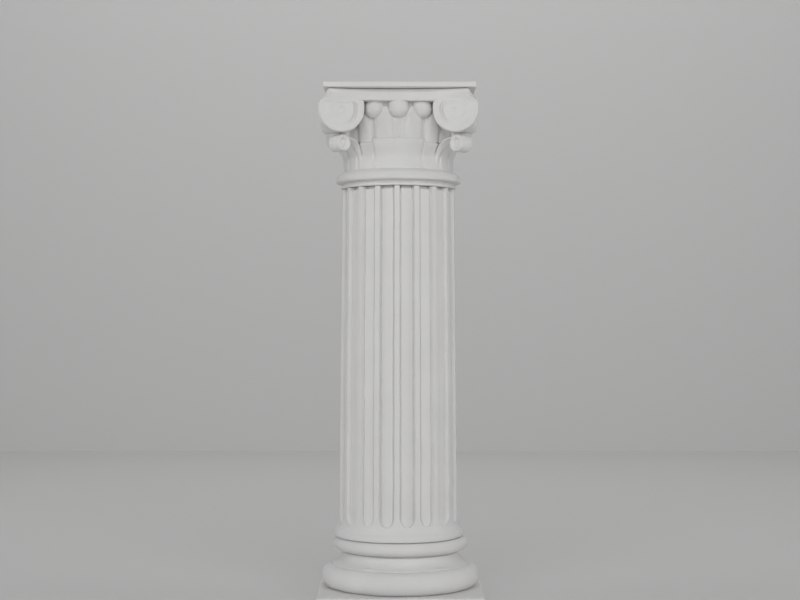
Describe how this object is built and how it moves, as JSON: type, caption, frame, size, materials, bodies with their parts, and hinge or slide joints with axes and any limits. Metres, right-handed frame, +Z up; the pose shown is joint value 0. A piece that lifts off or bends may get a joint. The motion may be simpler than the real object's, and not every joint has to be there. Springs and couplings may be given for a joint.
{
  "type": "fluted plaster column ornament",
  "caption": "Table-top classical column cast in white plaster: square plinth, round moulded base, fluted shaft and a leafy capital with corner volutes.",
  "frame": {"origin": "centre of the square underside, at table level", "axes": "+Z up along the column, -Y to the front"},
  "size_m": [0.0928, 0.0928, 0.3],
  "materials": {
    "base_plaster": "matte",
    "shaft_plaster": "matte",
    "capital_plaster": "matte",
    "plate_plaster": "matte"
  },
  "bodies": {
    "root": {"base": "base_plaster", "shaft": "shaft_plaster", "capital": "capital_plaster", "abacus_plate": "plate_plaster"}
  },
  "joints": []
}
